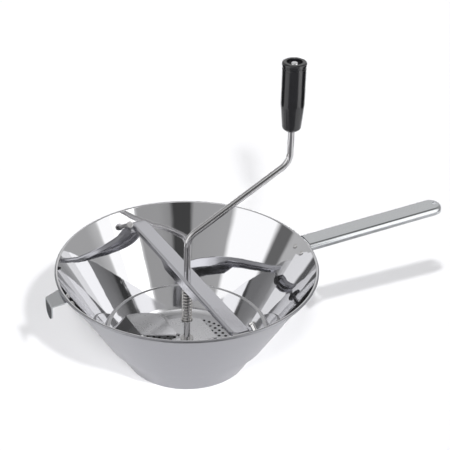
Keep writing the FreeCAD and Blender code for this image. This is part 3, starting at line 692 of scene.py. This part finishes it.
    @staticmethod
    def levels(tree: bpy.types.NodeTree, value: bpy.types.NodeSocket,
               stops: tuple[tuple[float, float], ...]) -> bpy.types.NodeSocket:
        """A socket with the level that goes with a value, in straight lines between stops.

        Args:
            tree: The tree to add the nodes to.
            value: The socket of the value.
            stops: Values in rising order, each with its level.

        Returns:
            The socket.
        """
        first, last = stops[0][0], stops[-1][0]
        share = add_node(tree, "ShaderNodeMapRange", {"Value": value, 1: first, 2: last})
        ramp = add_node(tree, "ShaderNodeValToRGB", {0: share.outputs[0]})
        marks = ramp.color_ramp.elements
        for stop in stops[1:-1]:
            marks.new((stop[0] - first) / (last - first))
        for mark, (place, level) in zip(marks, stops):
            mark.position = (place - first) / (last - first)
            mark.color = (level, level, level, 1)
        return ramp.outputs["Color"]

    @staticmethod
    def bare_material(name: str) -> bpy.types.Material:
        """Make a material with no nodes yet.

        Args:
            name: Its name.

        Returns:
            The material.
        """
        material = bpy.data.materials.new(name)
        material.use_nodes = True
        material.node_tree.nodes.clear()
        return material

    def add_walls(self) -> None:
        """Stand the studio's walls round the mill: softboxes, grey sides and the dark place of the camera."""
        bpy.ops.object.select_all(action="DESELECT")
        bpy.ops.mesh.primitive_cylinder_add(vertices=self.wall_sides, radius=self.wall_radius,
                                            depth=self.wall_height, end_fill_type="NOTHING",
                                            location=(0, 0, self.wall_height / 2))
        walls = bpy.context.object
        walls.name = "studio_walls"
        bpy.ops.object.transform_apply(location=True, rotation=True, scale=True)
        material = self.bare_material("studio_walls")
        tree = material.node_tree
        place = add_node(tree, "ShaderNodeTexCoord")
        # the radial gradient runs from half a turn before +X, so the picture's right is turned to there
        turn = add_node(tree, "ShaderNodeMapping",
                        {"Vector": place.outputs["Object"],
                         "Rotation": (0, 0, math.radians(90 - self.heading + 180))})
        around = add_node(tree, "ShaderNodeTexGradient", {"Vector": turn.outputs[0]}, gradient_type="RADIAL")
        degrees = add_node(tree, "ShaderNodeMath", {0: around.outputs["Fac"], 1: 360.0}, operation="MULTIPLY")
        split = add_node(tree, "ShaderNodeSeparateXYZ", {0: place.outputs["Object"]})
        glow = add_node(tree, "ShaderNodeEmission",
                        {"Color": self.levels(tree, degrees.outputs[0], self.walls),
                         "Strength": self.levels(tree, split.outputs["Z"], self.heights)})
        add_node(tree, "ShaderNodeOutputMaterial", {"Surface": glow.outputs[0]})
        walls.data.materials.append(material)
        self.only_in_metal(walls)

    def add_ceiling(self) -> None:
        """Close the studio with a grey ceiling that has a lamp over the camera and a dark back corner."""
        bpy.ops.object.select_all(action="DESELECT")
        bpy.ops.mesh.primitive_circle_add(vertices=self.wall_sides, radius=self.wall_radius, fill_type="NGON",
                                          location=(0, 0, self.wall_height))
        ceiling = bpy.context.object
        ceiling.name = "studio_ceiling"
        material = self.bare_material("studio_ceiling")
        tree = material.node_tree
        place = add_node(tree, "ShaderNodeTexCoord")
        away = self.to_frame(0, 1, 0)
        behind = add_node(tree, "ShaderNodeVectorMath", {0: place.outputs["Object"], 1: away},
                          operation="DOT_PRODUCT")
        aside = self.to_frame(1, 1, 0).normalized()
        corner = add_node(tree, "ShaderNodeVectorMath", {0: place.outputs["Object"], 1: aside},
                          operation="DOT_PRODUCT")
        glow = add_node(tree, "ShaderNodeEmission",
                        {"Color": self.levels(tree, behind.outputs["Value"], self.ceiling),
                         "Strength": self.levels(tree, corner.outputs["Value"], self.ceiling_corner)})
        add_node(tree, "ShaderNodeOutputMaterial", {"Surface": glow.outputs[0]})
        ceiling.data.materials.append(material)
        self.only_in_metal(ceiling)

    def add_softbox(self) -> None:
        """Stand a softbox at the front right, near enough for the handle's rolled edge to show it."""
        ends = []
        for angle in (self.softbox_from, self.softbox_to):
            turn = math.radians(angle)
            ends.append(self.to_frame(self.softbox_distance * math.cos(turn),
                                      self.softbox_distance * math.sin(turn), 0))
        along = ends[1] - ends[0]
        middle = (ends[0] + ends[1]) / 2 + Vector((0, 0, self.softbox_height / 2))
        bpy.ops.object.select_all(action="DESELECT")
        bpy.ops.mesh.primitive_plane_add(size=1, location=middle,
                                         rotation=(math.pi / 2, 0, math.atan2(along.y, along.x)))
        softbox = bpy.context.object
        softbox.name = "softbox"
        softbox.scale = (along.length, self.softbox_height, 1)
        material = self.bare_material("softbox")
        tree = material.node_tree
        glow = add_node(tree, "ShaderNodeEmission", {"Strength": self.softbox_level})
        add_node(tree, "ShaderNodeOutputMaterial", {"Surface": glow.outputs[0]})
        softbox.data.materials.append(material)
        self.only_in_metal(softbox)

    def add_card(self, card: Card) -> bpy.types.Object:
        """Lay a card on the floor.

        Args:
            card: Which card.

        Returns:
            The card's object.
        """
        bpy.ops.object.select_all(action="DESELECT")
        bpy.ops.mesh.primitive_circle_add(vertices=self.card_sides, radius=card.radius, fill_type="NGON",
                                          location=self.to_frame(card.right, card.behind, -self.card_drop))
        paper = bpy.context.object
        paper.name = card.name
        paper.scale = (card.length, 1, 1)
        paper.data.materials.append(Finish(card.name, card.colour, 1.0, metallic=0.0).material())
        return paper

    def add_cards(self) -> None:
        """Lay the card of painted shade under the open foot, and those that only the metal sees."""
        self.add_card(self.shade)
        for card in self.cards:
            self.only_in_metal(self.add_card(card))

    @staticmethod
    def only_in_metal(screen: bpy.types.Object) -> None:
        """Keep a part of the studio out of the picture, where only reflections show it.

        Args:
            screen: The part of the studio.
        """
        screen.visible_camera = False
        screen.visible_diffuse = False
        screen.visible_shadow = False

    def add_lamps(self) -> None:
        """Hang the lamps, each aimed at the mill."""
        for lamp in self.lamps:
            light = bpy.data.lights.new(lamp.name, "SUN")
            light.energy = lamp.strength
            light.angle = math.radians(lamp.spread)
            fixture = bpy.data.objects.new(lamp.name, light)
            place = self.to_frame(lamp.right, lamp.behind, lamp.up)
            aim = place.to_track_quat("Z", "Y").to_matrix().to_4x4()
            fixture.matrix_world = Matrix.Translation(place) @ aim
            fixture.visible_glossy = False
            bpy.context.scene.collection.objects.link(fixture)
            screen = bpy.data.collections.new(lamp.name + "_shades")
            for node in lamp.shades:
                screen.objects.link(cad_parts[node])
            fixture.light_linking.blocker_collection = screen

    def build(self) -> None:
        """Set up the whole studio."""
        self.add_floor()
        self.add_world()
        self.add_walls()
        self.add_ceiling()
        self.add_softbox()
        self.add_cards()
        self.add_lamps()
        bpy.context.scene.view_settings.view_transform = "Standard"


def main() -> None:
    """Dress the mill, then set up the camera and the studio."""
    logging.basicConfig(level=logging.INFO, format="%(name)s: %(message)s")
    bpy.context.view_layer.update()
    for unit in (BowlUnit(), BarUnit(), CrankUnit(), PhotoCamera(), Studio()):
        unit.build()
        log.info("%s done", type(unit).__name__)


if __name__ == "__main__":
    main()
